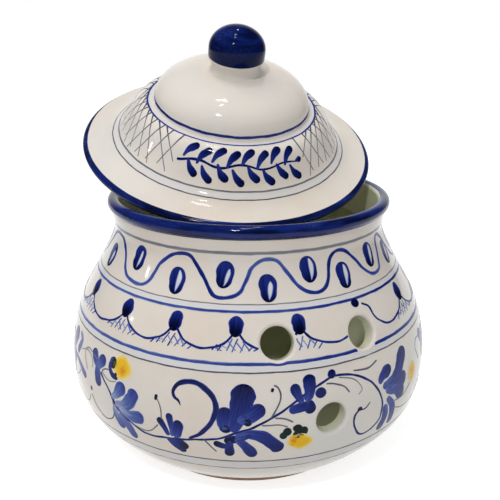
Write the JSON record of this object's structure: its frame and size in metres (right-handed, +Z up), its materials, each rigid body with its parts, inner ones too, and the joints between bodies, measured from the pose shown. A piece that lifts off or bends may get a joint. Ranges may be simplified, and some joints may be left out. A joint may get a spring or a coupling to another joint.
{
  "type": "garlic keeper",
  "caption": "Round vented pot of glazed earthenware with a loose, knobbed lid lying ajar on its rim, for keeping garlic dry and dark.",
  "frame": {"origin": "middle of the foot, on the surface that the pot stands on", "axes": "+Z up along the pot's axis; -Y towards the front, where the vent holes and the low side of the lid are; +X to the viewer's right"},
  "size_m": [0.15, 0.15, 0.1724],
  "materials": {
    "jar_glaze": "glossy cream tin glaze with brush-painted blue ornament; bare red clay on the foot ring",
    "lid_glaze": "glossy cream tin glaze with brush-painted blue ornament",
    "knob_glaze": "glossy cobalt blue glaze over cream"
  },
  "bodies": {
    "jar": {"jar": "jar_glaze"},
    "lid": {"lid": "lid_glaze", "knob": "knob_glaze"}
  },
  "joints": [
    {"name": "lid_lift", "type": "slide", "parent": "jar", "child": "lid", "axis": [0, 0, 1], "range_m": [0, 0.09]}
  ]
}
